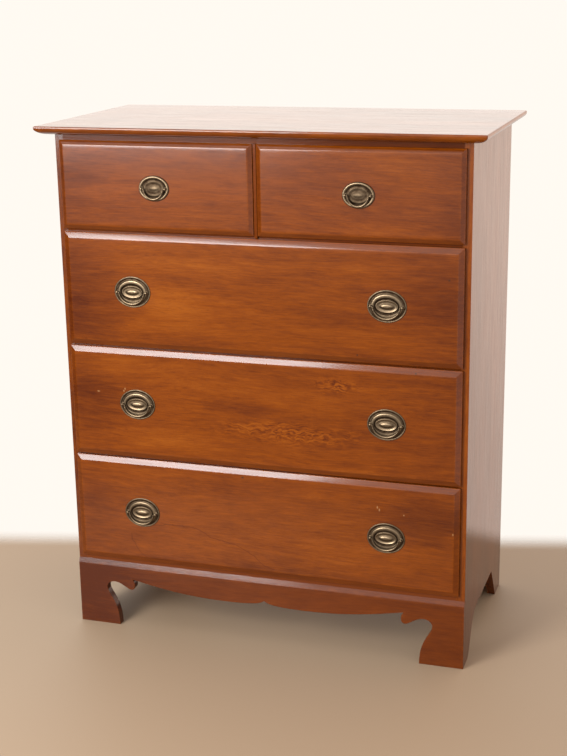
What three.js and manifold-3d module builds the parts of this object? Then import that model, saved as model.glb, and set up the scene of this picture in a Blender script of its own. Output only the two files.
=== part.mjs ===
// A mahogany chest of drawers: two small drawers over three long ones, with lipped and
// bevelled drawer fronts, a scrolled apron with bracket feet, and oval brass bail pulls.
// Millimetres. X runs across the front, Y from front to back and Z up. The origin is on the
// floor under the middle of the top board.
import * as THREE from 'three';
import { mergeVertices } from 'three/addons/utils/BufferGeometryUtils.js';
import Module from 'manifold-3d';

const wasm = await Module();
wasm.setup();

// Overall sizes of the case, without the overhang of the top
const caseWidth = 914;
const caseDepth = 463;
const overallHeight = 1163;

// Top board: a rounded nose over a convex under-bevel, on the front and the ends
const topThickness = 19;
const topSideOverhang = 33;
const topFrontOverhang = 37;
const topRearOverhang = 2;
const topArris = 1.5;
const topNoseHeight = 5;
const topBevelInset = 30;
const topBevelSteps = 5;

// Boards of the case
const sideThickness = 19;
const railThickness = 19;
const railDepth = 65;
const dividerThickness = 19;
const bottomThickness = 19;
const bottomHeight = 154;
const backThickness = 12;
const backRabbet = 8;
const backPlanks = 4;
const plankJointWidth = 2;
const plankJointDepth = 1.5;

// Runners, and the guide between the small drawers
const runnerWidth = 30;
const centreRunnerWidth = 60;
const guideHeight = 22;

// Stub tenons and tongues that hold the rails, the divider and the bottom board
const tenonLength = 8;
const tenonThickness = 10;
const tenonShoulder = 10;
const jointGap = 0.3;

// Drawer faces from the bottom row up, as parts of the height that they fill together, and the
// strips of rail that show between them
const faceHeightShares = [248.3, 253.5, 252.5, 192.5];
const reveal3 = 4;
const reveal2 = 4.5;
const reveal1 = 6.5;
const topReveal = 11.5;
const bottomLap = 2.3;
const sideReveal = 12.5;
const dividerReveal = 9.2;

// Drawer fronts
const lipGap = 0.3;
const lipThickness = 7.7;
const bevelRise = 5;
const longBevelWidth = 12.5;
const smallBevelWidth = 10;
const frontRebate = 12;

// Drawer boxes
const drawerSideThickness = 12;
const drawerBackThickness = 12;
const drawerBottomThickness = 8;
const grooveDepth = 5;
const grooveHeight = 14;
const backDrop = 5;
const sidePlay = 1.5;
const runGap = 0.3;
const topPlay = 3;
const rearPlay = 12;

// Dovetails
const tailLength = 10;
const tailPitch = 58;
const tailSlope = 1 / 6;
const tailShare = 0.65;

// Apron and its bracket feet, measured in from the end of the case and down from its top edge
const apronThickness = 19;
const apronProud = 5;
const apronTopRise = 4.9;
const apronBevelHeight = 10.9;
const apronBevelDepth = 4;
const apronEdgeDrop = 66.6;
const apronPeakDrop = 54.9;
const apronStepDrop = 40.9;
const bracketCuspReach = 134;
const bracketNoseReach = 142.5;
const bracketNoseDrop = 48.4;
const bracketLobeReach = 131;
const bracketLobeDrop = 67.4;
const bracketNotchReach = 89;
const bracketNotchDrop = 50.9;
const footWaist = 70;
const footWaistDrop = 66.9;
const footWidth = 98.5;
const apronBellyShare = 0.31;

// Pull points of the apron's curves from its middle out, as shares of each curve's width and rise
const apronCuspShares = [[0.1, 0.7], [0.35, 1]];
const apronBellyShares = [[0.42, 0], [0.71, 0.5]];
const bracketLobeShares = [[0.25, 0], [0.55, 1]];
const bracketNotchShares = [[0.58, 0], [1, 0.44]];
const footFlareShares = [[0, 0.2], [1, 0.34]];
const scrollSteps = 5;

// Arch in each side, measured back from the front of the case and up from the floor
const archHeight = 87;
const archFrontFoot = 47;
const archFrontShoulder = 140;
const archRearShoulder = 128;
const archRearFoot = 61;
const archFrontShares = [[0.36, 0.22], [0.44, 1]];
const archRearShares = [[0.16, 0], [0.56, 0.58]];
const archSteps = 7;

// Rear foot brackets
const rearFootThickness = 19;
const rearFootWidth = 82;
const rearFootReach = 122;
const rearFootArchHeight = 96;
const rearFootShares = [[0, 0.5], [0.5, 1]];
const rearFootSteps = 6;

// Pulls: places on the drawer faces, and how far those of each row, from the top one down, hang
// below the middle of their faces
const longPullInset = 159.5;
const pullDrop1 = 2;
const pullDrop2 = 1;
const pullDrop3 = 0;
const pullDrop4 = 2.35;

// Pulls: the two sizes, with the oval plate, the posts and the bail of each
const longPull = {
  plateHalfWidth: 42,
  plateHalfHeight: 34.5,
  relief: 4.2,
  postOffset: 34,
  bailDrop: 25.7,
  bellyRadius: 2.9,
};
const smallPull = {
  plateHalfWidth: 34.5,
  plateHalfHeight: 27.5,
  relief: 3.8,
  postOffset: 27,
  bailDrop: 22.3,
  bellyRadius: 2.7,
};
const plateSeatGap = 0.1;
const postRadius = 2.8;
const postHeight = 10.4;
const postDome = 1.4;
const pinHeight = 7.5;
const pinRadius = 1.1;
const pinGap = 0.3;
const pinReach = 1.6;
const armRadius = 1.8;
const armGap = 0.3;
const elbowRadius = 1.8;
const shankRadius = 2;
const shankGap = 0.3;
const shankProud = 2;
const nutRadius = 5;
const nutThickness = 4;
const nutSides = 6;
const barSides = 8;
const bailSteps = 6;

// Overrun of every cut past the face it leaves through
const overrun = 1;

// Faces that several pieces share
const sideOuter = caseWidth / 2;
const sideInner = sideOuter - sideThickness;
const topFront = -(topFrontOverhang + caseDepth + topRearOverhang) / 2;
const stileY = topFront + topFrontOverhang;
const caseRear = stileY + caseDepth;
const backInner = caseRear - backThickness;
const railRear = stileY + railDepth;
const topUnderside = overallHeight - topThickness;
const bottomTop = bottomHeight + bottomThickness;
const apronFront = stileY - apronProud;
const apronRear = apronFront + apronThickness;
const apronTop = bottomHeight + apronTopRise;
const lipBack = stileY - lipGap;
const lipFront = lipBack - lipThickness;
const faceY = lipFront - bevelRise;
const frontInner = stileY + frontRebate;
const drawerRear = backInner - rearPlay;
const plateBack = faceY - plateSeatGap;

// Heights of the drawer faces and of the rails between them
const faceFoot = bottomTop - bottomLap;
const faceTotal = topUnderside - topReveal - faceFoot - reveal3 - reveal2 - reveal1;
const shareTotal = faceHeightShares.reduce((sum, share) => sum + share, 0);
const [faceHeight4, faceHeight3, faceHeight2, faceHeight1] = faceHeightShares
  .map((share) => (share / shareTotal) * faceTotal);
const face4 = [faceFoot, faceFoot + faceHeight4];
const face3 = [face4[1] + reveal3, face4[1] + reveal3 + faceHeight3];
const face2 = [face3[1] + reveal2, face3[1] + reveal2 + faceHeight2];
const face1 = [face2[1] + reveal1, face2[1] + reveal1 + faceHeight1];
const rail3 = railBetween(face4, face3);
const rail2 = railBetween(face3, face2);
const rail1 = railBetween(face2, face1);
const topRail = [topUnderside - railThickness, topUnderside];

function railBetween(below, above) {
  const middle = (below[1] + above[0]) / 2;
  return [middle - railThickness / 2, middle + railThickness / 2];
}

// Materials
const mahogany = { color: '#7d3f22', roughness: 0.38, metalness: 0 };
const pine = { color: '#c6a474', roughness: 0.75, metalness: 0 };
const brass = { color: '#97835a', roughness: 0.35, metalness: 1 };

const chest = new THREE.Group();

function add(name, solid, finish) {
  const mesh = new THREE.Mesh(
    toGeometry(solid),
    new THREE.MeshStandardMaterial({ ...finish, flatShading: true }),
  );
  mesh.name = name;
  chest.add(mesh);
}

// Solids from geometries and back
function toSolid(geometry) {
  const merged = mergeVertices(geometry);
  return new wasm.Manifold(new wasm.Mesh({
    numProp: 3,
    vertProperties: merged.attributes.position.array,
    triVerts: new Uint32Array(merged.index.array),
  }));
}

function toGeometry(solid) {
  const mesh = solid.getMesh();
  const geometry = new THREE.BufferGeometry();
  geometry.setAttribute('position', new THREE.BufferAttribute(mesh.vertProperties, 3));
  geometry.setIndex(new THREE.BufferAttribute(mesh.triVerts, 1));
  geometry.computeVertexNormals();
  return geometry;
}

// The normal that a flat ring of points turns about, by the right-hand rule
function ringNormal(ring) {
  const normal = new THREE.Vector3();
  ring.forEach((point, i) => {
    normal.add(new THREE.Vector3().crossVectors(point, ring[(i + 1) % ring.length]));
  });
  return normal.normalize();
}

// Triangles that fill a flat ring, turning about its normal
function capTriangles(ring) {
  const normal = ringNormal(ring);
  const across = new THREE.Vector3().subVectors(ring[1], ring[0]).normalize();
  const up = new THREE.Vector3().crossVectors(normal, across);
  const flat = ring.map((point) => new THREE.Vector2(point.dot(across), point.dot(up)));
  return THREE.ShapeUtils.triangulateShape(flat, []);
}

// The closed skin through a row of rings, each a list of as many points
function loft(rings) {
  const count = rings[0].length;
  const forward = new THREE.Vector3().subVectors(rings[1][0], rings[0][0]);
  const runs = ringNormal(rings[0]).dot(forward) > 0
    ? rings
    : rings.map((ring) => [...ring].reverse());
  const index = [];
  for (let ring = 0; ring < rings.length - 1; ring += 1) {
    for (let i = 0; i < count; i += 1) {
      const near = ring * count + i;
      const next = ring * count + ((i + 1) % count);
      index.push(near, next, next + count, near, next + count, near + count);
    }
  }
  const last = (rings.length - 1) * count;
  capTriangles(runs[0]).forEach(([a, b, c]) => index.push(c, b, a));
  capTriangles(runs.at(-1)).forEach(([a, b, c]) => index.push(last + a, last + b, last + c));
  const geometry = new THREE.BufferGeometry();
  geometry.setFromPoints(runs.flat());
  geometry.setIndex(index);
  return toSolid(geometry);
}

function span(a, b) {
  return [Math.min(a, b), Math.max(a, b)];
}

// Rectangle across the Y axis
function frontRing(y, [x0, x1], [z0, z1]) {
  return [[x0, z0], [x1, z0], [x1, z1], [x0, z1]].map(([x, z]) => new THREE.Vector3(x, y, z));
}

function board(xSpan, [y0, y1], zSpan) {
  return loft([frontRing(y0, xSpan, zSpan), frontRing(y1, xSpan, zSpan)]);
}

// An outline in X and Z carried along Y, and one in Y and Z carried along X
function prismAlongY(outline, ySpan) {
  return loft(ySpan.map((y) => outline.map(([x, z]) => new THREE.Vector3(x, y, z))));
}

function prismAlongX(outline, xSpan) {
  return loft(xSpan.map((x) => outline.map(([y, z]) => new THREE.Vector3(x, y, z))));
}

// A round bar along Y or X
function roundBar(axis, radius, sides, [low, high], [u, z]) {
  return loft([low, high].map((along) => Array.from({ length: sides }, (_, i) => {
    const angle = ((i + 0.5) * 2 * Math.PI) / sides;
    const across = u + radius * Math.cos(angle);
    const up = z + radius * Math.sin(angle);
    return axis === 'y'
      ? new THREE.Vector3(across, along, up)
      : new THREE.Vector3(along, across, up);
  })));
}

// A piece that is let into another is cut out of it this much larger all round
function grown([low, high], gap) {
  return [low - gap, high + gap];
}

// Case: the top board
function topBoard() {
  const halfWidth = sideOuter + topSideOverhang;
  const rear = -topFront;
  const profile = [[topArris, overallHeight], [0, overallHeight - topArris]];
  const bevelHeight = topThickness - topNoseHeight;
  for (let step = 0; step <= topBevelSteps; step += 1) {
    const angle = ((step / topBevelSteps) * Math.PI) / 2;
    profile.push([
      topBevelInset * (1 - Math.cos(angle)),
      topUnderside + bevelHeight * (1 - Math.sin(angle)),
    ]);
  }
  return loft(profile.map(([inset, z]) => {
    const x = halfWidth - inset;
    const front = topFront + inset;
    return [[-x, front], [x, front], [x, rear], [-x, rear]]
      .map(([px, py]) => new THREE.Vector3(px, py, z));
  }));
}

// Case: the stub tenons at the ends of a rail, or the tongues of the bottom board
function endTenons(ySpan, zSpan, gap) {
  const middle = (zSpan[0] + zSpan[1]) / 2;
  const height = grown([middle - tenonThickness / 2, middle + tenonThickness / 2], gap);
  const reach = sideInner + tenonLength + gap;
  const root = sideInner - overrun;
  return [-1, 1].map((end) => board(span(end * root, end * reach), grown(ySpan, gap), height));
}

const railTenonSpan = [stileY + tenonShoulder, railRear - tenonShoulder];
const bottomTongueSpan = [stileY + tenonShoulder, backInner - jointGap];
const bottomSpan = [bottomHeight, bottomTop];

function railBoard(zSpan) {
  const [left, right] = endTenons(railTenonSpan, zSpan, 0);
  return board([-sideInner, sideInner], [stileY, railRear], zSpan).add(left).add(right);
}

// Case: the stub tenons at the top and the foot of the divider
const dividerTenonHalf = (dividerThickness - tenonShoulder) / 2;

function dividerTenon(zSpan, gap) {
  return board(
    grown([-dividerTenonHalf, dividerTenonHalf], gap),
    grown(railTenonSpan, gap),
    grown(zSpan, gap),
  );
}

const dividerTopTenon = [topRail[0] - overrun, topRail[0] + tenonLength];
const dividerFootTenon = [rail1[1] - tenonLength, rail1[1] + overrun];

function bottomBoard() {
  const [left, right] = endTenons(bottomTongueSpan, bottomSpan, 0);
  return board([-sideInner, sideInner], [stileY, backInner], bottomSpan).add(left).add(right);
}

// A curve on from the end of a path, pulled by two points that lie at shares of its way
function curveTo(path, [x, z], shares) {
  const from = path.currentPoint.clone();
  const pulls = shares.flatMap(([across, up]) => [
    from.x + across * (x - from.x),
    from.y + up * (z - from.y),
  ]);
  path.bezierCurveTo(...pulls, x, z);
}

// Case: the side panels, with the arch between their feet
function sideOutline() {
  const front = stileY + archFrontFoot;
  const arch = new THREE.Path();
  arch.moveTo(front, 0);
  curveTo(arch, [stileY + archFrontShoulder, archHeight], archFrontShares);
  arch.lineTo(caseRear - archRearShoulder, archHeight);
  curveTo(arch, [caseRear - archRearFoot, 0], archRearShares);
  return [
    [apronRear, 0],
    ...arch.getPoints(archSteps).map((point) => [point.x, point.y]),
    [caseRear, 0],
    [caseRear, topUnderside],
    [stileY, topUnderside],
    [stileY, bottomHeight],
    [apronRear, bottomHeight],
  ];
}

function sidePanel(end) {
  let solid = prismAlongX(sideOutline(), span(end * sideInner, end * sideOuter));
  const rabbet = board(
    span(end * (sideInner - overrun), end * (sideInner + backRabbet)),
    [backInner, caseRear + overrun],
    [bottomHeight, topUnderside + overrun],
  );
  solid = solid.subtract(rabbet);
  for (const zSpan of [topRail, rail1, rail2, rail3]) {
    endTenons(railTenonSpan, zSpan, jointGap).forEach((cut) => {
      solid = solid.subtract(cut);
    });
  }
  endTenons(bottomTongueSpan, bottomSpan, jointGap).forEach((cut) => {
    solid = solid.subtract(cut);
  });
  return solid;
}

// Case: the back, of planks glued edge to edge with a shallow groove at each joint
function backPanel() {
  const plankHeight = (topUnderside - bottomHeight) / backPlanks;
  const outline = [[backInner, topUnderside], [backInner, bottomHeight], [caseRear, bottomHeight]];
  for (let joint = 1; joint < backPlanks; joint += 1) {
    const z = bottomHeight + joint * plankHeight;
    outline.push([caseRear, z - plankJointWidth / 2]);
    outline.push([caseRear - plankJointDepth, z]);
    outline.push([caseRear, z + plankJointWidth / 2]);
  }
  outline.push([caseRear, topUnderside]);
  const half = sideInner + backRabbet - jointGap;
  return prismAlongX(outline, [-half, half]);
}

// Case: a runner along the inside of a side, its top level with the rail before it
function runner(end, rail) {
  return board(
    span(end * sideInner, end * (sideInner - runnerWidth)),
    [railRear, backInner],
    rail,
  );
}

// Case: the divider, with the guide and the runner that carry the small drawers behind it
function centreDivider() {
  const half = dividerThickness / 2;
  const halfRunner = centreRunnerWidth / 2;
  const upright = board([-half, half], [stileY, railRear], [rail1[1], topRail[0]]);
  const guide = board(
    [-half, half],
    [railRear - overrun, backInner],
    [rail1[1], rail1[1] + guideHeight],
  );
  const strip = board([-halfRunner, halfRunner], [railRear, backInner], rail1);
  return upright
    .add(guide)
    .add(strip)
    .add(dividerTenon(dividerTopTenon, 0))
    .add(dividerTenon(dividerFootTenon, 0));
}

// Case: half the lower edge of the apron, from its middle out to the inside of a foot
function apronEdge() {
  const cuspX = sideOuter - bracketCuspReach;
  const noseX = sideOuter - bracketNoseReach;
  const lobeX = sideOuter - bracketLobeReach;
  const edgeHeight = apronTop - apronEdgeDrop;
  const lobeHeight = apronTop - bracketLobeDrop;
  const scroll = new THREE.Path();
  scroll.moveTo(0, apronTop - apronPeakDrop);
  curveTo(scroll, [apronBellyShare * noseX, edgeHeight], apronCuspShares);
  curveTo(scroll, [cuspX, apronTop - apronStepDrop], apronBellyShares);
  scroll.bezierCurveTo(noseX, apronTop - bracketNoseDrop, noseX, lobeHeight, lobeX, lobeHeight);
  curveTo(scroll, [sideOuter - bracketNotchReach, apronTop - bracketNotchDrop], bracketLobeShares);
  curveTo(scroll, [sideOuter - footWaist, apronTop - footWaistDrop], bracketNotchShares);
  curveTo(scroll, [sideOuter - footWidth, 0], footFlareShares);
  return scroll.getPoints(scrollSteps).map((point) => [point.x, point.y]);
}

function frontApron() {
  const half = apronEdge();
  const mirrored = half.slice(1).map(([x, z]) => [-x, z]).reverse();
  const edge = [[-sideOuter, 0], ...mirrored, ...half, [sideOuter, 0]];
  const levels = [
    [apronFront, apronTop - apronBevelHeight],
    [apronFront + apronBevelDepth, apronTop],
    [apronRear, apronTop],
  ];
  const blank = loft(levels.map(([y, top]) => [...edge, [sideOuter, top], [-sideOuter, top]]
    .map(([x, z]) => new THREE.Vector3(x, y, z))));
  const rabbet = board(
    grown([-sideOuter, sideOuter], overrun),
    [stileY, apronRear + overrun],
    [bottomHeight, apronTop + overrun],
  );
  return blank.subtract(rabbet);
}

// Case: a bracket beside a rear foot, parallel to the back
function rearFoot(end) {
  const inner = sideInner - rearFootWidth;
  const tip = sideInner - rearFootReach;
  const edge = new THREE.Path();
  edge.moveTo(inner, 0);
  curveTo(edge, [tip, rearFootArchHeight], rearFootShares);
  const outline = [
    [sideInner, 0],
    ...edge.getPoints(rearFootSteps).map((point) => [point.x, point.y]),
    [tip, bottomHeight],
    [sideInner, bottomHeight],
  ];
  return prismAlongY(
    outline.map(([x, z]) => [end * x, z]),
    [caseRear - rearFootThickness, caseRear],
  );
}

// Drawers: the tails along one end of a side, each as its span at the tip and at the root
function tailSpans([low, high]) {
  const count = Math.max(1, Math.round((high - low) / tailPitch));
  const pitch = (high - low) / count;
  const half = (tailShare * pitch) / 2;
  return Array.from({ length: count }, (_, i) => {
    const middle = low + (i + 0.5) * pitch;
    return [middle - half, middle + half];
  });
}

// The outline of one tail in Y and Z, from its root to its tip, larger by gap all round
function tailOutline([low, high], root, tip, gap) {
  const narrow = tailSlope * Math.abs(tip - root);
  const past = gap * Math.sign(tip - root);
  return [
    [root - past, low + narrow - gap],
    [tip + past, low - gap],
    [tip + past, high + gap],
    [root - past, high - narrow + gap],
  ];
}

// Every size of one drawer, from its face and the opening that it fills
function drawerPlan(faceX, faceZ, openingX, openingZ, bevelWidth, pull, pullXs, pullDrop) {
  const boxX = [openingX[0] + sidePlay, openingX[1] - sidePlay];
  const boxZ = [openingZ[0] + runGap, openingZ[1] - topPlay];
  const innerX = [boxX[0] + drawerSideThickness, boxX[1] - drawerSideThickness];
  const groove = [
    boxZ[0] + grooveHeight,
    boxZ[0] + grooveHeight + drawerBottomThickness + 2 * jointGap,
  ];
  const backZ = [groove[1], boxZ[1] - backDrop];
  const backFront = drawerRear - drawerBackThickness;
  const pullZ = (faceZ[0] + faceZ[1]) / 2 - pullDrop;
  return {
    faceX, faceZ, boxX, boxZ, innerX, groove, backZ, backFront, bevelWidth, pull, pullXs, pullZ,
    frontTails: tailSpans(boxZ),
    backTails: tailSpans(backZ),
  };
}

function drawerFront(plan) {
  const fieldX = grown(plan.faceX, -plan.bevelWidth);
  const fieldZ = grown(plan.faceZ, -plan.bevelWidth);
  let solid = loft([
    frontRing(faceY, fieldX, fieldZ),
    frontRing(lipFront, plan.faceX, plan.faceZ),
    frontRing(lipBack, plan.faceX, plan.faceZ),
    frontRing(lipBack, plan.boxX, plan.boxZ),
    frontRing(frontInner, plan.boxX, plan.boxZ),
  ]);
  const socketXs = [
    [plan.boxX[0] - overrun, plan.innerX[0] + jointGap],
    [plan.innerX[1] - jointGap, plan.boxX[1] + overrun],
  ];
  for (const tail of plan.frontTails) {
    const outline = tailOutline(tail, frontInner, frontInner - tailLength, jointGap);
    for (const xSpan of socketXs) {
      solid = solid.subtract(prismAlongX(outline, xSpan));
    }
  }
  solid = solid.subtract(board(
    grown(plan.innerX, grooveDepth),
    [frontInner - grooveDepth, frontInner + overrun],
    plan.groove,
  ));
  for (const x of plan.pullXs) {
    for (const end of [-1, 1]) {
      const hole = roundBar(
        'y',
        shankRadius + shankGap,
        barSides,
        [faceY - overrun, frontInner + overrun],
        [x + end * plan.pull.postOffset, plan.pullZ],
      );
      solid = solid.subtract(hole);
    }
  }
  return solid;
}

function drawerSide(plan, end) {
  const outline = [
    [frontInner, plan.boxZ[0]],
    [drawerRear, plan.boxZ[0]],
    [drawerRear, plan.backZ[0] - jointGap],
    [plan.backFront, plan.backZ[0] - jointGap],
  ];
  for (const tail of plan.backTails) {
    outline.push(...tailOutline(tail, plan.backFront, drawerRear, 0));
  }
  outline.push([plan.backFront, plan.boxZ[1]], [frontInner, plan.boxZ[1]]);
  for (const tail of [...plan.frontTails].reverse()) {
    outline.push(...tailOutline(tail, frontInner, frontInner - tailLength, 0).reverse());
  }
  const xSpan = end < 0
    ? [plan.boxX[0], plan.innerX[0]]
    : [plan.innerX[1], plan.boxX[1]];
  const inner = end < 0 ? plan.innerX[0] : plan.innerX[1];
  const groove = board(
    span(inner - end * overrun, inner + end * grooveDepth),
    [frontInner - tailLength - overrun, drawerRear + overrun],
    plan.groove,
  );
  return prismAlongX(outline, xSpan).subtract(groove);
}

function drawerBack(plan) {
  let solid = board(plan.boxX, [plan.backFront, drawerRear], plan.backZ);
  const socketXs = [
    [plan.boxX[0] - overrun, plan.innerX[0] + jointGap],
    [plan.innerX[1] - jointGap, plan.boxX[1] + overrun],
  ];
  for (const tail of plan.backTails) {
    const outline = tailOutline(tail, plan.backFront, drawerRear, jointGap);
    for (const xSpan of socketXs) {
      solid = solid.subtract(prismAlongX(outline, xSpan));
    }
  }
  return solid;
}

function drawerBottom(plan) {
  return board(
    grown(plan.innerX, grooveDepth - jointGap),
    [frontInner - grooveDepth + jointGap, drawerRear],
    grown(plan.groove, -jointGap),
  );
}

// Pulls: the rings of the stamped oval plate, as shares of its half width, half height and
// relief, from the rim in to the boss
const reliefShares = [
  [1, 1, 0.3],
  [0.965, 0.955, 0.5],
  [0.9, 0.87, 0.22],
  [0.81, 0.77, 0.3],
  [0.74, 0.67, 1],
  [0.67, 0.56, 0.86],
  [0.61, 0.45, 0.3],
  [0.56, 0.36, 0.62],
  [0.46, 0.25, 0.36],
  [0.22, 0.08, 0.95],
];
const plateSides = 20;

function ovalRing(x, y, z, halfWidth, halfHeight) {
  return Array.from({ length: plateSides }, (_, i) => {
    const angle = (i * 2 * Math.PI) / plateSides;
    return new THREE.Vector3(x + halfWidth * Math.cos(angle), y, z + halfHeight * Math.sin(angle));
  });
}

function pullPlate(pull, x, z) {
  const back = ovalRing(x, plateBack, z, pull.plateHalfWidth, pull.plateHalfHeight);
  const relief = reliefShares.map(([wide, high, rise]) => ovalRing(
    x,
    plateBack - rise * pull.relief,
    z,
    wide * pull.plateHalfWidth,
    high * pull.plateHalfHeight,
  ));
  let solid = loft([back, ...relief]);
  for (const end of [-1, 1]) {
    solid = solid.add(pullPost(x + end * pull.postOffset, z));
  }
  const bore = roundBar(
    'x',
    pinRadius + pinGap,
    barSides,
    [x - pull.postOffset - postRadius - overrun, x + pull.postOffset + postRadius + overrun],
    [plateBack - pinHeight, z],
  );
  return solid.subtract(bore);
}

// A post with a domed head, the shank behind it and the nut inside the drawer
function pullPost(x, z) {
  const head = plateBack - postHeight;
  const rings = [
    [frontInner + nutThickness + shankProud, shankRadius],
    [plateBack - overrun, shankRadius],
    [plateBack - overrun, postRadius],
    [head + postDome, postRadius],
    [head, postRadius - postDome],
  ];
  const shank = loft(rings.map(([y, radius]) => Array.from({ length: barSides }, (_, i) => {
    const angle = ((i + 0.5) * 2 * Math.PI) / barSides;
    return new THREE.Vector3(x + radius * Math.cos(angle), y, z + radius * Math.sin(angle));
  })));
  const seat = frontInner + plateSeatGap;
  return shank.add(roundBar('y', nutRadius, nutSides, [seat, seat + nutThickness], [x, z]));
}

// The bail: a pin into each post, and a bar that thickens towards its lowest point
function pullBail(pull, x, z) {
  const y = plateBack - pinHeight;
  const arm = pull.postOffset - postRadius - armGap - armRadius;
  const half = [
    [pull.postOffset + pinReach, 0, pinRadius],
    [arm + elbowRadius, 0, pinRadius],
  ];
  const start = Math.asin(elbowRadius / pull.bailDrop);
  for (let step = 0; step <= bailSteps; step += 1) {
    const angle = start + (step / bailSteps) * (Math.PI / 2 - start);
    const swell = Math.sin(angle) ** 2;
    half.push([
      arm * Math.cos(angle),
      -pull.bailDrop * Math.sin(angle),
      armRadius + swell * (pull.bellyRadius - armRadius),
    ]);
  }
  const path = [...half, ...half.slice(0, -1).map(([u, v, radius]) => [-u, v, radius]).reverse()];
  return loft(path.map(([u, v, radius], i) => {
    const before = path[Math.max(i - 1, 0)];
    const after = path[Math.min(i + 1, path.length - 1)];
    const along = new THREE.Vector2(after[0] - before[0], after[1] - before[1]).normalize();
    return Array.from({ length: barSides }, (_, k) => {
      const angle = (k * 2 * Math.PI) / barSides;
      const across = radius * Math.sin(angle);
      return new THREE.Vector3(
        x + u - along.y * across,
        y + radius * Math.cos(angle),
        z + v + along.x * across,
      );
    });
  }));
}

// Assembly: the case
add('top_board', topBoard(), mahogany);
add('side_left', sidePanel(-1), mahogany);
add('side_right', sidePanel(1), mahogany);
add('back_panel', backPanel(), pine);
add('top_rail', railBoard(topRail).subtract(dividerTenon(dividerTopTenon, jointGap)), mahogany);
add('rail_below_1', railBoard(rail1).subtract(dividerTenon(dividerFootTenon, jointGap)), mahogany);
add('rail_below_2', railBoard(rail2), mahogany);
add('rail_below_3', railBoard(rail3), mahogany);
add('bottom_board', bottomBoard(), pine);
add('centre_divider', centreDivider(), mahogany);
[rail1, rail2, rail3].forEach((rail, i) => {
  add(`runner_${i + 1}_left`, runner(-1, rail), pine);
  add(`runner_${i + 1}_right`, runner(1, rail), pine);
});
add('front_apron', frontApron(), mahogany);
add('rear_foot_left', rearFoot(-1), pine);
add('rear_foot_right', rearFoot(1), pine);

// Assembly: the drawers and their pulls
const faceOuter = sideOuter - sideReveal;
const dividerHalf = dividerThickness / 2;
const smallFace = [dividerReveal / 2, faceOuter];
const smallPullX = (smallFace[0] + smallFace[1]) / 2;
const smallOpening = [rail1[1], topRail[0]];
const longFace = [-faceOuter, faceOuter];
const longOpening = [-sideInner, sideInner];
const longPullX = faceOuter - longPullInset;
const longPullXs = [-longPullX, longPullX];
const drawers = {
  drawer_1_left: drawerPlan(
    [-smallFace[1], -smallFace[0]],
    face1,
    [-sideInner, -dividerHalf],
    smallOpening,
    smallBevelWidth,
    smallPull,
    [-smallPullX],
    pullDrop1,
  ),
  drawer_1_right: drawerPlan(
    smallFace,
    face1,
    [dividerHalf, sideInner],
    smallOpening,
    smallBevelWidth,
    smallPull,
    [smallPullX],
    pullDrop1,
  ),
};
[
  [face2, rail2, rail1, pullDrop2],
  [face3, rail3, rail2, pullDrop3],
  [face4, bottomSpan, rail3, pullDrop4],
]
  .forEach(([face, below, above, pullDrop], i) => {
    const opening = [below[1], above[0]];
    drawers[`drawer_${i + 2}`] = drawerPlan(
      longFace,
      face,
      longOpening,
      opening,
      longBevelWidth,
      longPull,
      longPullXs,
      pullDrop,
    );
  });

for (const [name, plan] of Object.entries(drawers)) {
  add(`${name}_front`, drawerFront(plan), mahogany);
  add(`${name}_side_left`, drawerSide(plan, -1), pine);
  add(`${name}_side_right`, drawerSide(plan, 1), pine);
  add(`${name}_back`, drawerBack(plan), pine);
  add(`${name}_bottom`, drawerBottom(plan), pine);
  const row = name.split('_')[1];
  for (const x of plan.pullXs) {
    const pullName = `pull_${row}_${x < 0 ? 'left' : 'right'}`;
    add(`${pullName}_plate`, pullPlate(plan.pull, x, plan.pullZ), brass);
    add(`${pullName}_bail`, pullBail(plan.pull, x, plan.pullZ), brass);
  }
}

export default chest;
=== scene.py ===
"""Dresses the chest of drawers: moulded top, lipped drawer fronts, scrolled apron, sides and brass
pulls as worked-out surfaces, with a finish for every board. Metres, X across the front, Y from front
to back and Z up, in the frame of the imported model."""
import math
import bmesh
import bpy
import numpy as np
from bpy.props import FloatProperty, FloatVectorProperty, IntProperty, PointerProperty
from mathutils import Matrix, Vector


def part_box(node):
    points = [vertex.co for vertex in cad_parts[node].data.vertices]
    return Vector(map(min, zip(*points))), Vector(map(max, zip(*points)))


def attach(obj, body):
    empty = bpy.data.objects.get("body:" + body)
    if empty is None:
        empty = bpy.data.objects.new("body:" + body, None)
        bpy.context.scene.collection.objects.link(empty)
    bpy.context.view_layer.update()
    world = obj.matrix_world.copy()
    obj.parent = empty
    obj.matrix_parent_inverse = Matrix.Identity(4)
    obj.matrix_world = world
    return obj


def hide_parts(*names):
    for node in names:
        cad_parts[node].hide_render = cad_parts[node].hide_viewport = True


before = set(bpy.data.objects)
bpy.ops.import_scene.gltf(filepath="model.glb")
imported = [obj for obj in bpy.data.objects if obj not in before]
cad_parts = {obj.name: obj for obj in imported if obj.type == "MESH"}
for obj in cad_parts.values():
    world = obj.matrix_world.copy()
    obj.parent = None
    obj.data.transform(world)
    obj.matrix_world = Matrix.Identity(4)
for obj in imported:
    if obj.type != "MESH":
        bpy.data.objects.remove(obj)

bl_info = {
    "name": "Mahogany chest of drawers",
    "version": (1, 0, 0),
    "blender": (4, 5, 0),
    "location": "3D View > Sidebar > Chest",
    "description": "Surfaces, finishes and a studio for a mahogany chest with brass bail pulls",
    "category": "Object",
}


def box(name):
    """A CAD node's lowest and highest corners at rest."""
    return tuple(np.array(corner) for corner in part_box(name))


def linear(code):
    """An sRGB hex colour as linear light: each channel over 12.92 near black, and a power of 2.4 above."""
    channels = [int(code[at : at + 2], 16) / 255 for at in (1, 3, 5)]
    return tuple(c / 12.92 if c <= 0.04045 else ((c + 0.055) / 1.055) ** 2.4 for c in channels)


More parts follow.
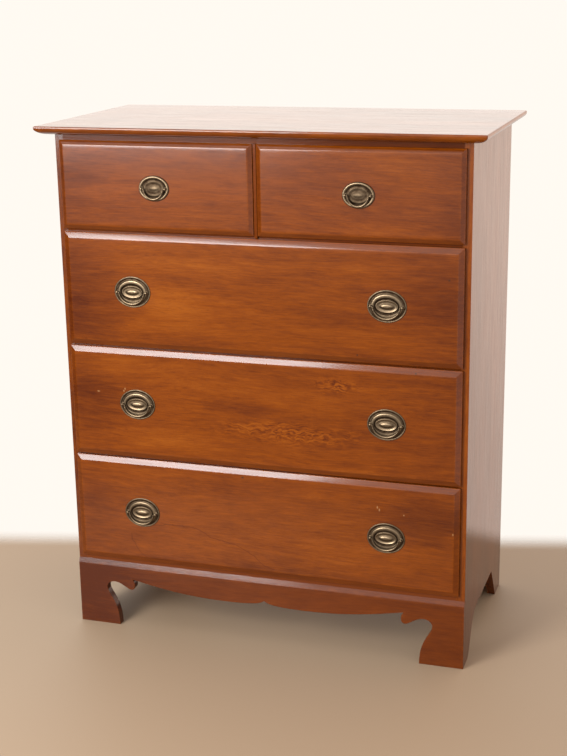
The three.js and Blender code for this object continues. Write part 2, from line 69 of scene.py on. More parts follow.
def length(name, description, default):
    """A size that a user may change, in metres."""
    return FloatProperty(
        name=name, description=description, default=default, min=0, unit="LENGTH", precision=4
    )


def colour(name, description, code):
    """A colour that a user may change, given as sRGB hex."""
    return FloatVectorProperty(
        name=name, description=description, default=linear(code), size=3, min=0, max=1, subtype="COLOR"
    )


class ChestSizes(bpy.types.PropertyGroup):
    """Sizes of the mouldings and of the worn edges"""

    arris: length("Arris", "Radius to which use has rounded the edges", 0.0009)
    top_nose: length("Nose", "Height of the straight part of the top's edge", 0.005)
    top_bevel: length("Under-bevel", "How far the rounded underside of the top's edge runs in", 0.030)
    lip: length("Lip", "Thickness of a drawer front's lip", 0.0077)
    bevel_rise: length("Bevel rise", "How far the field of a drawer front stands out from its lip", 0.005)
    long_bevel: length("Long bevel", "Width of the bevel on a long drawer", 0.0125)
    small_bevel: length("Small bevel", "Width of the bevel on a small drawer", 0.010)
    apron_bevel: length("Apron bevel", "Height of the bevel along the top of the apron", 0.0109)
    apron_bevel_depth: length("Apron bevel depth", "Depth of that bevel", 0.0046)
    strip_proud: length("Strip", "How far the strip between the small drawers stands out", 0.0068)
    strip_play: length("Strip play", "Gap between that strip and the drawers beside it", 0.001)


class PullSizes(bpy.types.PropertyGroup):
    """Sizes of the brass pulls"""

    long_relief: length("Long relief", "Height of the pressing on a long drawer's plate", 0.0042)
    small_relief: length("Small relief", "Height of the pressing on a small drawer's plate", 0.0038)
    post_radius: length("Post radius", "Radius of a post's head", 0.0028)
    post_height: length("Post height", "How far a post's head stands out from the drawer", 0.0104)
    shank_radius: length("Shank radius", "Radius of the shank behind a post", 0.0020)
    nut_radius: length("Nut radius", "Half of a nut's width across its corners", 0.0050)
    nut_height: length("Nut height", "Thickness of a nut", 0.0040)
    bail_radius: length("Bail radius", "Radius of the bail beside its posts", 0.0018)
    pin_radius: length("Pin radius", "Radius of the pins that turn in the posts", 0.0011)
    pin_reach: length("Pin reach", "How far a pin runs on past the middle of its post", 0.0016)
    segments: IntProperty(name="Segments", description="Points round a plate", default=72, min=24, max=160)


class ChestColours(bpy.types.PropertyGroup):
    """Colours of the finishes"""

    heart: colour("Heart", "Darkest grain of the stained mahogany", "#3e1501")
    red: colour("Red", "Red ground of the mahogany", "#582602")
    amber: colour("Amber", "Lighter ribbon of the mahogany", "#683002")
    gold: colour("Gold", "Palest flecks of the mahogany", "#773c06")
    pine: colour("Pine", "Unfinished pine inside the chest", "#b08a5c")
    latewood: colour("Latewood", "Darker lines in the pine", "#8f6a42")
    brass: colour("Brass", "Rubbed brass on the ridges", "#74644f")
    patina: colour("Patina", "Brown tarnish in the hollows of the brass", "#2a1e14")
    floor: colour("Floor", "Plain studio floor", "#8b7862")


def node(tree, kind, inputs=(), out=0, stops=(), **settings):
    """Adds one node and gives back one of its outputs, or the node itself where out is None.
    Inputs are values or other nodes' outputs, in the order of the sockets or by their names: for
    a MapRange, the value, the two ends that it runs between, and what those become. Stops give a
    ramp its places and colours, and settings are the node's own properties."""
    made = tree.nodes.new(f"ShaderNode{kind}")
    for key, value in settings.items():
        setattr(made, key, value)
    for socket, value in inputs.items() if isinstance(inputs, dict) else enumerate(inputs):
        if isinstance(value, bpy.types.NodeSocket):
            tree.links.new(value, made.inputs[socket])
        else:
            made.inputs[socket].default_value = value
    for at, (place, tint) in enumerate(stops):
        stop = made.color_ramp.elements[at] if at < 2 else made.color_ramp.elements.new(place)
        stop.position = place
        stop.color = (*tint, 1)
    return made if out is None else made.outputs[out]


def blank_material(name):
    """An empty material and its tree."""
    material = bpy.data.materials.new(name)
    material.use_nodes = True
    material.node_tree.nodes.clear()
    return material, material.node_tree


def shaded(material, tree, sockets):
    """A material ended with its shader, whose sockets are given, and its output."""
    shader = node(tree, "BsdfPrincipled", sockets)
    node(tree, "OutputMaterial", {"Surface": shader}, out=None)
    return material


def along_grain(tree, place, grain, shift):
    """A place turned so that X runs along the grain, and shifted to another part of the log."""
    turns = {"x": (0, 0, 0), "y": (0, 0, -math.pi / 2), "z": (0, math.pi / 2, 0)}
    return node(tree, "Mapping", {"Vector": place, "Location": shift, "Rotation": turns[grain]})


def streaks(tree, vector, long_mm, wide_mm, detail=2.0, rough=0.5):
    """Noise drawn out along the grain: its marks are about long_mm by wide_mm, so the pattern's
    own coordinates are the place in metres times 1000 over each of those sizes."""
    scale = (1000 / long_mm, 1000 / wide_mm, 1000 / wide_mm)
    drawn = node(tree, "VectorMath", (vector, scale), operation="MULTIPLY")
    return node(tree, "TexNoise", {"Vector": drawn, "Scale": 1.0, "Detail": detail, "Roughness": rough})


def total(tree, terms):
    """The weighted sum of several sockets and numbers, each centred on a half first."""
    so_far = 0.5
    for socket, weight in terms:
        share = node(tree, "Math", (socket, 0.5), operation="SUBTRACT")
        so_far = node(tree, "Math", (share, weight, so_far), operation="MULTIPLY_ADD")
    return so_far


def patch(tree, place, centre, reach, edge=1.0, core=0.0):
    """A soft spot: 1 within its core, easing to 0 at its edge, which are shares of its reach from
    the centre along X, Y and Z."""
    away = node(tree, "VectorMath", (place, centre), operation="SUBTRACT")
    scaled = node(tree, "VectorMath", (away, reach), operation="DIVIDE")
    far = node(tree, "VectorMath", (scaled,), out="Value", operation="LENGTH")
    return node(tree, "MapRange", (far, edge, core), interpolation_type="SMOOTHSTEP")


def spots(tree, place, marks):
    """Soft spots added together, each given by its centre and its reach."""
    so_far = 0.0
    for centre, reach in marks:
        so_far = node(tree, "Math", (so_far, patch(tree, place, centre, reach)))
    return so_far


def crack(tree, place, along, start, step, heights):
    """A dark grain line on a front: at even steps along X or Z it passes through the heights, in
    metres on the other axis, and it is about 2 mm wide with a waver of some 3 mm."""
    waver, core, rim = 0.01, 0.0004, 0.0018
    parts = node(tree, "SeparateXYZ", (place,), out=None).outputs
    low, high = min(heights), max(heights)
    reach = step * (len(heights) - 1)
    onward = node(tree, "MapRange", (parts[along], start, start + reach))
    path = node(tree, "FloatCurve", {"Value": onward}, out=None)
    points = path.mapping.curves[0].points
    for at, height in enumerate(heights):
        spot = points[min(at, 1)] if at in (0, len(heights) - 1) else points.new(0.5, 0.5)
        spot.location = (at / (len(heights) - 1), (height - low) / (high - low))
    path.mapping.update()
    noise = node(tree, "TexNoise", {"Vector": place, "Scale": 70.0, "Detail": 2.0})
    middle = node(tree, "Math", (path.outputs[0], high - low, low - waver / 2), operation="MULTIPLY_ADD")
    shaken = node(tree, "Math", (noise, waver, middle), operation="MULTIPLY_ADD")
    gap = node(tree, "Math", (parts[2 - along], shaken), operation="SUBTRACT")
    near = node(tree, "Math", (gap,), operation="ABSOLUTE")
    line = node(tree, "MapRange", (near, rim, core))
    inside = node(tree, "Math", (parts[along], start + reach / 2, reach / 2), operation="COMPARE")
    return node(tree, "Math", (line, inside), operation="MULTIPLY")


def layered(tree, ground, layers):
    """A ground colour with layers over it, each a factor and the colour that it lays on."""
    for factor, tint in layers:
        laid = {"Factor": factor, "A": ground, "B": (*tint, 1)}
        ground = node(tree, "Mix", laid, out=2, data_type="RGBA")
    return ground


def pushed(tree, vector, noise, reach, share=1.0):
    """A place moved by a noise's colour: the colour less a half, times the share, times the reach
    along each axis, is added to it."""
    centred = node(tree, "VectorMath", (noise, (0.5, 0.5, 0.5)), operation="SUBTRACT")
    swing = node(tree, "VectorMath", {0: centred, "Scale": share}, operation="SCALE")
    return node(tree, "VectorMath", (swing, reach, vector), operation="MULTIPLY_ADD")


def mahogany(
    board,
    grain="x",
    shift=(0, 0, 0),
    tone=0.0,
    contrast=1.0,
    clouds=(),
    curls=(),
    nicks=(),
    scratches=(),
    cracks=(),
    polish=1.0,
    ripple=0.12,
):
    """Mahogany, planed, stained red-brown and rubbed with shellac. The eye gets broad soft clouds
    of red and amber with fine long grain in them, a gloss that shows soft lights, and paler wood
    where the arrises are worn. Tone makes it lighter, and contrast stronger. Clouds are (centre,
    reach, how much lighter), curls are (centre, reach) of wavy figure, nicks and scratches are
    (centre, reach) of small dark dents and pale scrapes, and cracks are dark lines in the grain.
    Polish is how full the shellac lies, and ripple how much of the grain stands up in it."""
    tints = bpy.context.scene.chest_colours
    material, tree = blank_material(f"mahogany_{board}")
    place = node(tree, "TexCoord", out="Object")
    grained = along_grain(tree, place, grain, shift)

    # The grain wanders by some 20 mm over half a metre
    spread = node(tree, "VectorMath", (grained, (2.2, 7, 7)), operation="MULTIPLY")
    wander = node(tree, "TexNoise", {"Vector": spread, "Scale": 1.0, "Detail": 2.0}, out="Color")
    bent = pushed(tree, grained, wander, (0, 0.045, 0.045))

    # Curls bend the grain by some 8 mm every 25 mm
    curled = spots(tree, place, curls)
    if curls:
        twist = node(tree, "TexNoise", {"Vector": place, "Scale": 40.0, "Detail": 1.0}, out="Color")
        bent = pushed(tree, bent, twist, (0.02, 0.03, 0.03), curled)

    drift = streaks(tree, grained, 420, 110, 2.0)
    bands = streaks(tree, bent, 330, 24, 3.0)
    ribbons = streaks(tree, bent, 95, 8, 2.0, 0.55)
    lines = streaks(tree, bent, 60, 2.4, 2.0, 0.6)
    mottle = streaks(tree, bent, 60, 12, 4.0, 0.75)
    parts = [(drift, 0.44), (bands, 0.26), (ribbons, 0.24), (lines, 0.4), (mottle, 0.52)]
    parts = [(part, weight * contrast) for part, weight in parts] + [(0.5 + tone, 1.0)]

    # A cloud's second term gives back the half that the sum takes off it
    for centre, reach, lift in clouds:
        parts += [(patch(tree, place, centre, reach), lift), (0.5 + lift / 2, 1.0)]
    if curls:
        figure = node(tree, "Math", (streaks(tree, bent, 30, 4, 1.0), 0.5), operation="SUBTRACT")
        parts.append((node(tree, "Math", (figure, curled, 0.5), operation="MULTIPLY_ADD"), 1.7))
    stops = [(0.14, tints.heart), (0.84, tints.gold), (0.4, tints.red), (0.6, tints.amber)]
    ground = node(tree, "ValToRGB", (total(tree, parts),), stops=stops)

    # Pores are about 0.2 by 5 mm, drawn 1.2 by 20 mm so that they show at this size
    pores = streaks(tree, bent, 20, 1.2, 1.0)
    open_pore = node(tree, "MapRange", (pores, 0.56, 0.74, 0.0, 0.3))

    # Wear along the arrises, in patches some 26 by 10 mm. Below zero the mark darkens the wood: partly
    # gathered stain, partly painted shade on the drawer fronts' bevels
    worn = node(tree, "Attribute", out="Fac", attribute_name="wear_and_bevel_shade")
    rubbed = node(tree, "MapRange", (streaks(tree, place, 26, 10, 3.0, 0.65), 0.45, 0.7, 0.0, 0.4))
    bare = node(tree, "Math", (worn, rubbed), operation="MULTIPLY", use_clamp=True)
    stained = node(tree, "Math", (worn, -1.0), operation="MULTIPLY", use_clamp=True)
    layers = [(open_pore, tints.heart), (bare, tints.gold), (stained, tints.heart)]
    if nicks:
        layers.append((spots(tree, place, nicks), tints.patina))
    if scratches:
        scraped = spots(tree, place, scratches)
        faint = node(tree, "Math", (scraped, 0.4), operation="MULTIPLY", use_clamp=True)
        layers.append((faint, tints.pine))
    for line in cracks:
        depth = node(tree, "Math", (crack(tree, place, *line), 0.55), operation="MULTIPLY")
        layers.append((depth, tints.heart))

    handled = streaks(tree, place, 90, 90, 3.0)
    dull = node(tree, "MapRange", (handled, 0.3, 0.7, 0.4, 0.55))
    height = total(tree, [(pores, -0.3), (lines, 0.2), (handled, 1.2)])
    bump = node(tree, "Bump", {"Strength": ripple, "Distance": 0.0006, "Height": height})

    # The shellac is thin along the grain, in streaks some 5 mm wide
    thin = streaks(tree, bent, 200, 5, 3.0, 0.6)
    coat = node(tree, "MapRange", (thin, 0.35, 0.6, 0.86 * polish, polish))

    # Under the shellac the wood itself has next to no gloss of its own
    sockets = {
        "Base Color": layered(tree, ground, layers),
        "Roughness": dull,
        "Normal": bump,
        "IOR": 1.5,
        "Specular IOR Level": 0.0,
        "Coat Weight": coat,
        "Coat Roughness": 0.13,
        "Coat IOR": 1.38,
        "Coat Normal": bump,
    }
    return shaded(material, tree, sockets)


def pine(board, grain="x", shift=(0, 0, 0), stain_and_shade_to=None):
    """Pine, sawn and planed but never finished, and gone tan with age. The eye gets dull straw
    wood with darker lines of late growth and a faint raised grain. A front edge that shows is
    darkened red like the mahogany, back to the depth given: partly stain, partly painted shade."""
    tints = bpy.context.scene.chest_colours
    material, tree = blank_material(f"pine_{board}")
    place = node(tree, "TexCoord", out="Object")
    grained = along_grain(tree, place, grain, shift)
    growth = streaks(tree, grained, 900, 7, 1.0, 0.5)
    cloud = streaks(tree, grained, 260, 60, 2.0)
    fibre = streaks(tree, grained, 40, 1.5, 2.0)
    value = total(tree, [(growth, 0.9), (cloud, 0.7), (fibre, 0.4)])
    surface = node(tree, "ValToRGB", (value,), stops=[(0.2, tints.latewood), (0.62, tints.pine)])
    if stain_and_shade_to is not None:
        # The front edge is darkened red: partly stain, partly painted shade in the gap above the apron
        depth = node(tree, "SeparateXYZ", (place,), out="Y")
        before = node(tree, "Math", (depth, stain_and_shade_to), operation="LESS_THAN")
        surface = layered(tree, surface, [(before, tints.red)])
    bump = node(tree, "Bump", {"Strength": 0.3, "Distance": 0.0005, "Height": value})
    sockets = {"Base Color": surface, "Roughness": 0.72, "Specular IOR Level": 0.15, "Normal": bump}
    return shaded(material, tree, sockets)


def old_brass():
    """Brass, pressed and turned, with its lacquer worn off. The eye gets grey-gold ridges rubbed
    bright and brown tarnish lying in the hollows."""
    tints = bpy.context.scene.chest_colours
    material, tree = blank_material("brass_pressed_and_tarnished")
    place = node(tree, "TexCoord", out="Object")
    hollow = node(tree, "Attribute", out="Fac", attribute_name="hollow")
    blotches = streaks(tree, place, 9, 9, 3.0, 0.6)
    depth = node(tree, "Math", (blotches, 0.5), operation="SUBTRACT")
    dark = node(tree, "Math", (depth, 0.7, hollow), operation="MULTIPLY_ADD", use_clamp=True)
    sockets = {
        "Base Color": layered(tree, (*tints.brass, 1), [(dark, tints.patina)]),
        "Metallic": 1.0,
        "Roughness": node(tree, "MapRange", (dark, 0.0, 1.0, 0.33, 0.6)),
        "Normal": node(tree, "Bump", {"Strength": 0.2, "Distance": 0.0003, "Height": blotches}),
    }
    return shaded(material, tree, sockets)


def skin(name, shells, material, body, stands_for, layer="wear_and_bevel_shade"):
    """The closed skins over stacks of rings. Each shell is a grid of points, rows by columns, with
    a row of values for the layer: column joins to next column and round, row joins to next row,
    and the first and last rows are closed by flat faces. What stands for no board rides alone."""
    points, faces, values = [], [], []
    start = 0
    for rings, marks in shells:
        rows, cols = rings.shape[:2]
        index = start + np.arange(rows * cols).reshape(rows, cols)
        onward = np.roll(index, -1, axis=1)
        quads = np.stack([index[:-1], onward[:-1], onward[1:], index[1:]], -1).reshape(-1, 4)
        faces += quads.tolist() + [index[0].tolist(), index[-1].tolist()]
        points.append(rings.reshape(-1, 3))
        values.append(np.repeat(np.asarray(marks, float), cols))
        start += rows * cols
    mesh = bpy.data.meshes.new(name)
    mesh.from_pydata(np.concatenate(points).tolist(), [], faces)
    mesh.attributes.new(layer, "FLOAT", "POINT").data.foreach_set("value", np.concatenate(values))
    solid = bmesh.new()
    solid.from_mesh(mesh)
    bmesh.ops.remove_doubles(solid, verts=solid.verts, dist=1e-6)
    bmesh.ops.recalc_face_normals(solid, faces=solid.faces)
    solid.to_mesh(mesh)
    solid.free()
    mesh.polygons.foreach_set("use_smooth", [True] * len(mesh.polygons))
    mesh.set_sharp_from_angle(angle=math.radians(38))
    mesh.materials.append(material)
    piece = bpy.data.objects.new(name, mesh)
    bpy.context.scene.collection.objects.link(piece)
    weighted = piece.modifiers.new("Flat faces stay flat", "WEIGHTED_NORMAL")
    weighted.keep_sharp = True
    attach(piece, body)
    if stands_for:
        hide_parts(*stands_for)
    return piece


def rectangle(low, high, radius, steps=3):
    """Points round a rectangle whose corners are quarter circles: for each corner, its centre plus
    the radius times the cosine and sine of angles that run over its quarter turn."""
    radius = min(radius, (high[0] - low[0]) / 2, (high[1] - low[1]) / 2)
    quarter = np.linspace(0, math.pi / 2, steps + 1)
    middles = [
        (high[0] - radius, high[1] - radius),
        (low[0] + radius, high[1] - radius),
        (low[0] + radius, low[1] + radius),
        (high[0] - radius, low[1] + radius),
    ]
    corners = []
    for k, (u, v) in enumerate(middles):
        angle = quarter + k * math.pi / 2
        corners.append(np.stack([u + radius * np.cos(angle), v + radius * np.sin(angle)], 1))
    return np.concatenate(corners)


def inset(outline, by):
    """An outline moved inwards: each point goes along the mean of its two edge normals, by the
    distance over the cosine of half the angle between them, which is held to twice the distance."""
    before = outline - np.roll(outline, 1, axis=0)
    after = np.roll(outline, -1, axis=0) - outline
    normals = []
    for edge in (before, after):
        normals.append(np.stack([-edge[:, 1], edge[:, 0]], 1) / np.linalg.norm(edge, axis=1)[:, None])
    middle = normals[0] + normals[1]
    middle /= np.linalg.norm(middle, axis=1)[:, None]
    spread = np.clip((middle * normals[0]).sum(1), 0.5, 1)
    return outline + middle * (by / spread)[:, None]


def curve(start, end, pulls, steps=14):
    """A cubic curve without its first point: its pull points lie at shares of the way from start
    to end, and the point at t weighs the four by (1-t)^3, 3t(1-t)^2, 3t^2(1-t) and t^3."""
    t = np.linspace(0, 1, steps + 1)[1:, None]
    a, d = np.array(start), np.array(end)
    b, c = (a + np.array(pull) * (d - a) for pull in pulls)
    return (1 - t) ** 3 * a + 3 * t * (1 - t) ** 2 * b + 3 * t**2 * (1 - t) * c + t**3 * d


def upright(ring, y):
    """A flat ring in X and Z at one depth, or at one depth for each point."""
    return np.stack([ring[:, 0], np.broadcast_to(y, ring[:, 0].shape), ring[:, 1]], 1)


def quarter_turn(radius, steps=4):
    """How far in and how far along each step of a rounded arris lies, from the face to the side:
    the radius times one less the sine, and the radius times one less the cosine."""
    angle = np.linspace(0, math.pi / 2, steps + 1)
    return np.stack([radius * (1 - np.sin(angle)), radius * (1 - np.cos(angle))], 1)


def top_board():
    """A rectangle with softened corners, carried down a profile of inset and height: flat top,
    worn arris, straight nose, then a quarter of an ellipse under it. The rear edge stays put."""
    sizes = bpy.context.scene.chest_sizes
    low, high = box("top_board")
    arris = 3.0 * sizes.arris
    fade, brink, corner, growth, straight = 0.004, 0.0006, 0.0022, 0.6, 0.001
    nose = high[2] - sizes.top_nose
    angle = np.linspace(0, math.pi / 2, 13)
    profile = [(arris + fade, high[2], 0.0), (arris + brink, high[2], 0.5)]
    profile += [(i, high[2] - down, 1.0) for i, down in quarter_turn(arris)]
    profile += [(0.0, nose + straight, 0.6)]
    profile += [
        (sizes.top_bevel * (1 - c), low[2] + (nose - low[2]) * (1 - s), 0.15)
        for c, s in zip(np.cos(angle), np.sin(angle))
    ]
    rings = []
    for inward, height, _ in profile:
        front_left = (low[0] + inward, low[1] + inward)
        radius = corner + growth * min(inward, fade)
        ring = rectangle(front_left, (high[0] - inward, high[1]), radius)
        rings.append(np.column_stack([ring, np.full(len(ring), height)]))
    finish = mahogany("top", shift=(0.3, 0.2, 0.4), contrast=1.6, ripple=0.35)
    shell = (np.array(rings), [mark for _, _, mark in profile])
    skin("top_moulded", [shell], finish, "case", ["top_board"])


def drawer_front(drawer, finish):
    """Rings of a rectangle carried along a profile of depth and size: the field, its worn arris,
    the bevel down to the lip, the lip's edge and back, then the block that the sides are let into.
    The block stands a hair inside the tails, so their ends show at its sides."""
    sizes = bpy.context.scene.chest_sizes
    low, high = box(f"{drawer}_front")
    left, right = box(f"{drawer}_side_left"), box(f"{drawer}_side_right")
    bevel = sizes.small_bevel if "_1_" in drawer else sizes.long_bevel
    lip_front = low[1] + sizes.bevel_rise
    lip_back = lip_front + sizes.lip
    edge, corner, chamfer, hair = sizes.arris, 0.0012, 0.0004, 0.00015
    toe = 2.2 * edge
    slope = sizes.bevel_rise / bevel

    # Round the field's arris: how far inside it each row lies, how far back, and how worn it is. Marks
    # below zero darken the bevel down to the lip: partly stain, partly painted shade
    arris = [(0.006, 0.0, 0.0), (0.0012, 0.0, 0.3), (0.0003, 0.0001, 1.0)]
    arris += [(-by, slope * by, mark) for by, mark in ((0.0007, 0.8), (0.0018, -0.3))]
    rows = [(bevel + by, low[1] + back, mark) for by, back, mark in arris]
    rows += [(toe, lip_front - slope * toe, -0.3)]
    rows += [(i, lip_front + along, 0.9) for i, along in quarter_turn(edge, 3)]
    rows += [(0.0, lip_back - chamfer, 0.2), (chamfer, lip_back, 0.0)]
    rings = [upright(rectangle(low[[0, 2]] + i, high[[0, 2]] - i, corner), y) for i, y, _ in rows]
    block_low = np.array([left[0][0] + hair, left[0][2]])
    block_high = np.array([right[1][0] - hair, right[1][2]])
    ease = corner / 2
    for i, y in ((0.0, lip_back), (0.0, high[1] - ease), (ease, high[1])):
        rings.append(upright(rectangle(block_low + i, block_high - i, ease), y))
    shell = (np.array(rings), [mark for _, _, mark in rows] + [0.0] * 3)
    skin(f"{drawer}_lipped_front", [shell], finish, drawer, [f"{drawer}_front"])


# Depth of the chest's front, at which the marks in its wood lie
FACE = -0.227

# The apron's lower edge, from its peak in the middle out to the foot: how far each turn lies in
# from the end and below the top, and the pull points of the curve that leads there, as shares
SCROLL_PEAK = 0.0549
SCROLL_TURNS = [
    (0.359505, 0.0666, ((0.1, 0.7), (0.35, 1))),
    (0.134, 0.0409, ((0.42, 0), (0.71, 0.5))),
    (0.131, 0.0674, ((-2.83, 0.283), (-2.83, 1))),
    (0.089, 0.0509, ((0.25, 0), (0.55, 1))),
    (0.07, 0.0669, ((0.58, 0), (1, 0.44))),
]
FOOT_WIDTH = 0.0985
FOOT_FLARE_SHARES = ((0, 0.2), (1, 0.34))


def apron():
    """The apron's outline, curves joined end to end and mirrored about the middle, carried from
    front to back: a worn arris, the face with the bevel along its top, and the lap behind it."""
    sizes = bpy.context.scene.chest_sizes
    low, high = box("front_apron")
    stile = box("side_right")[0][1]
    lap = box("bottom_board")[0][2]
    end, top, face = high[0], high[2], low[1]
    path = [np.array([[0.0, top - SCROLL_PEAK]])]
    for reach, drop, pulls in SCROLL_TURNS:
        path.append(curve(path[-1][-1], (end - reach, top - drop), pulls))
    path.append(curve(path[-1][-1], (end - FOOT_WIDTH, 0.0), FOOT_FLARE_SHARES))
    half = np.concatenate(path)
    edge = np.concatenate([[(-end, 0.0)], (half[1:] * (-1, 1))[::-1], half, [(end, 0.0)]])
    shoulder = top - sizes.apron_bevel
    front, upper, lower = (
        np.concatenate([edge, [(end, height), (-end, height)]]) for height in (shoulder, top, lap)
    )
    fade, ease, chamfer = 0.004, 0.0002, 0.0005
    rings, marks = [upright(inset(front, fade), face)], [0.0]
    for i, along in quarter_turn(sizes.arris, 3):
        rings.append(upright(inset(front, i), face + along))
        marks.append(0.8)
    rings += [
        upright(upper, face + sizes.apron_bevel_depth - ease),
        upright(inset(upper, ease), stile),
        upright(lower, stile),
        upright(lower, high[1] - chamfer),
        upright(inset(lower, chamfer), high[1]),
    ]
    marks += [0.05] + [0.0] * 4
    dark_end = ((-0.43, FACE, 0.1), (0.25, 0.1, 0.25), -0.22)
    finish = mahogany("apron", shift=(0.9, 0.1, 0.75), tone=-0.19, contrast=0.6, clouds=[dark_end])
    skin("apron_scrolled", [(np.array(rings), marks)], finish, "case", ["front_apron"])


def divider_strip():
    """A rounded rectangle in X and Z, carried forward from the divider to a worn arris: the strip
    that fills the gap between the two small drawers."""
    sizes = bpy.context.scene.chest_sizes
    divider = box("centre_divider")[0][1]
    face = divider - sizes.strip_proud
    edge, seat, corner = sizes.arris, 0.001, 0.0003
    half = box("drawer_1_right_front")[0][0] - sizes.strip_play
    low = np.array([-half, box("drawer_2_front")[1][2] + sizes.strip_play])
    high = np.array([half, box("drawer_1_right_front")[1][2]])
    rows = [(0.0, divider + seat, 0.0), (0.0, face + edge, 0.0)]
    rows += [(i, face + along, 0.3) for i, along in quarter_turn(edge, 3)[::-1]]
    rings = [upright(rectangle(low + i, high - i, corner), y) for i, y, _ in rows]
    finish = mahogany(
        "divider_strip", grain="z", shift=(0.6, 0.1, 0.3), tone=-0.15, contrast=0.7, polish=0.35
    )
    shell = (np.array(rings), [mark for _, _, mark in rows])
    skin("divider_strip", [shell], finish, "case", [])


# The arch between a side's feet, and the pull points of its two curves as shares
ARCH_HEIGHT = 0.087
ARCH_FRONT_FOOT = 0.047
ARCH_FRONT_SHOULDER = 0.14
ARCH_REAR_SHOULDER = 0.128
ARCH_REAR_FOOT = 0.061
ARCH_FRONT_SHARES = ((0.36, 0.22), (0.44, 1))
ARCH_REAR_SHARES = ((0.16, 0), (0.56, 0.58))


def side_board(end):
    """The side's outline in Y and Z, with the arch between its feet, carried from its inner face
    to its outer one: the rabbet for the back on the inner part, and worn arrises at both faces."""
    sizes = bpy.context.scene.chest_sizes
    name = "side_left" if end < 0 else "side_right"
    low, high = box(name)
    floor_part = box("bottom_board")[0][2]
    notch = box("front_apron")[1][1]
    rabbet_y = box("back_panel")[0][1]
    rabbet_x = box("back_panel")[1][0]
    front, rear, top = low[1], high[1], high[2]
    inner, outer = sorted((abs(low[0]), abs(high[0])))
    shoulder, rear_shoulder = front + ARCH_FRONT_SHOULDER, rear - ARCH_REAR_SHOULDER
    arch = [
        np.array([[front + ARCH_FRONT_FOOT, 0.0]]),
        curve((front + ARCH_FRONT_FOOT, 0.0), (shoulder, ARCH_HEIGHT), ARCH_FRONT_SHARES),
        np.array([[rear_shoulder, ARCH_HEIGHT]]),
        curve((rear_shoulder, ARCH_HEIGHT), (rear - ARCH_REAR_FOOT, 0.0), ARCH_REAR_SHARES),
    ]
    fade, chamfer, hair = 0.004, 0.0004, 0.0001

    def outline(back):
        """The outline with its rear edge set to a depth above the case's floor."""
        return np.concatenate(
            [
                [(notch, 0.0)],
                *arch,
                [(rear, 0.0), (rear, floor_part), (back, floor_part + hair), (back, top), (front, top)],
                [(front, floor_part), (notch, floor_part)],
            ]
        )

    whole, let_in, plain = outline(rear + hair), outline(rabbet_y), outline(rear)
    whole[:, 0] = np.minimum(whole[:, 0], rear)
    levels = [
        (inset(let_in, chamfer), inner, 0.0),
        (let_in, inner + chamfer, 0.0),
        (let_in, rabbet_x, 0.0),
        (whole, rabbet_x, 0.0),
    ]
    levels += [
        (inset(plain, i) if i > 0 else whole, outer - along, 0.7)
        for i, along in quarter_turn(sizes.arris, 3)[::-1]
    ]
    levels += [(inset(plain, fade), outer, 0.0)]
    rings = [np.column_stack([np.full(len(ring), end * x), ring]) for ring, x, _ in levels]

    # Painted light: the right side's front edge, which the proud drawer fronts shade from the key light,
    # is lifted lighter than its face
    pale = ((end * outer, front - 0.004, high[2] / 2), (0.05, 0.012, 3.0), 0.36)
    finish = mahogany(
        name,
        grain="z",
        shift=(0.2, 0.5 * end, 0.1),
        tone=-0.2,
        contrast=1.3,
        clouds=[pale] if end > 0 else [],
        ripple=0.4,
    )
    shell = (np.array(rings), [mark for _, _, mark in levels])
    skin(f"{name}_board", [shell], finish, "case", [name])


# The pressing of a plate from its rim in, as shares of half width, half height and relief, and
# how much tarnish lies there
PRESSING_SHARES = np.array(
    [
        [1.0, 1.0, 0.0, 0.7],
        [1.0, 1.0, 0.26, 0.55],
        [0.982, 0.978, 0.44, 0.3],
        [0.955, 0.945, 0.46, 0.4],
        [0.925, 0.908, 0.34, 0.9],
        [0.88, 0.85, 0.28, 0.95],
        [0.83, 0.79, 0.38, 0.7],
        [0.785, 0.735, 0.85, 0.1],
        [0.74, 0.68, 1.0, 0.05],
        [0.69, 0.605, 1.0, 0.45],
        [0.65, 0.54, 0.9, 0.7],
        [0.615, 0.475, 0.35, 0.9],
        [0.59, 0.43, 0.28, 0.95],
        [0.565, 0.385, 0.6, 0.5],
        [0.535, 0.345, 0.62, 0.1],
        [0.49, 0.29, 0.4, 0.3],
        [0.43, 0.235, 0.34, 0.55],
        [0.37, 0.185, 0.38, 0.6],
        [0.32, 0.145, 0.62, 0.4],
        [0.26, 0.1, 0.86, 0.15],
        [0.15, 0.045, 1.0, 0.2],
        [0.06, 0.012, 1.0, 0.2],
    ]
)


# The same for a small drawer's plate, which has its ridge at the rim and a flat middle
SMALL_PRESSING_SHARES = np.array(
    [
        [1.0, 1.0, 0.0, 0.7],
        [1.0, 1.0, 0.3, 0.5],
        [0.985, 0.98, 0.6, 0.3],
        [0.96, 0.95, 0.85, 0.15],
        [0.93, 0.91, 1.0, 0.1],
        [0.89, 0.86, 1.0, 0.25],
        [0.84, 0.8, 0.85, 0.5],
        [0.79, 0.74, 0.5, 0.85],
        [0.74, 0.69, 0.35, 0.95],
        [0.69, 0.64, 0.45, 0.9],
        [0.64, 0.57, 0.6, 0.75],
        [0.58, 0.5, 0.6, 0.75],
        [0.52, 0.43, 0.52, 0.85],
        [0.46, 0.36, 0.5, 0.9],
        [0.4, 0.28, 0.56, 0.8],
        [0.32, 0.19, 0.6, 0.75],
        [0.24, 0.1, 0.72, 0.65],
        [0.12, 0.04, 0.8, 0.5],
        [0.05, 0.012, 0.8, 0.5],
    ]
)


# A post's head from the plate out, as shares of the post's height and radius, and its tarnish
POST_HEAD_SHARES = [
    (0.11538, 1.55, 0.8),
    (0.28846, 1.55, 0.4),
    (0.34615, 1.3, 0.3),
    (0.40385, 0.9, 0.8),
    (0.52885, 0.86, 0.7),
    (0.59615, 1.0, 0.3),
    (0.84615, 1.0, 0.05),
    (0.93269, 0.85, 0.0),
    (0.98077, 0.55, 0.0),
    (1.0, 0.2, 0.0),
]


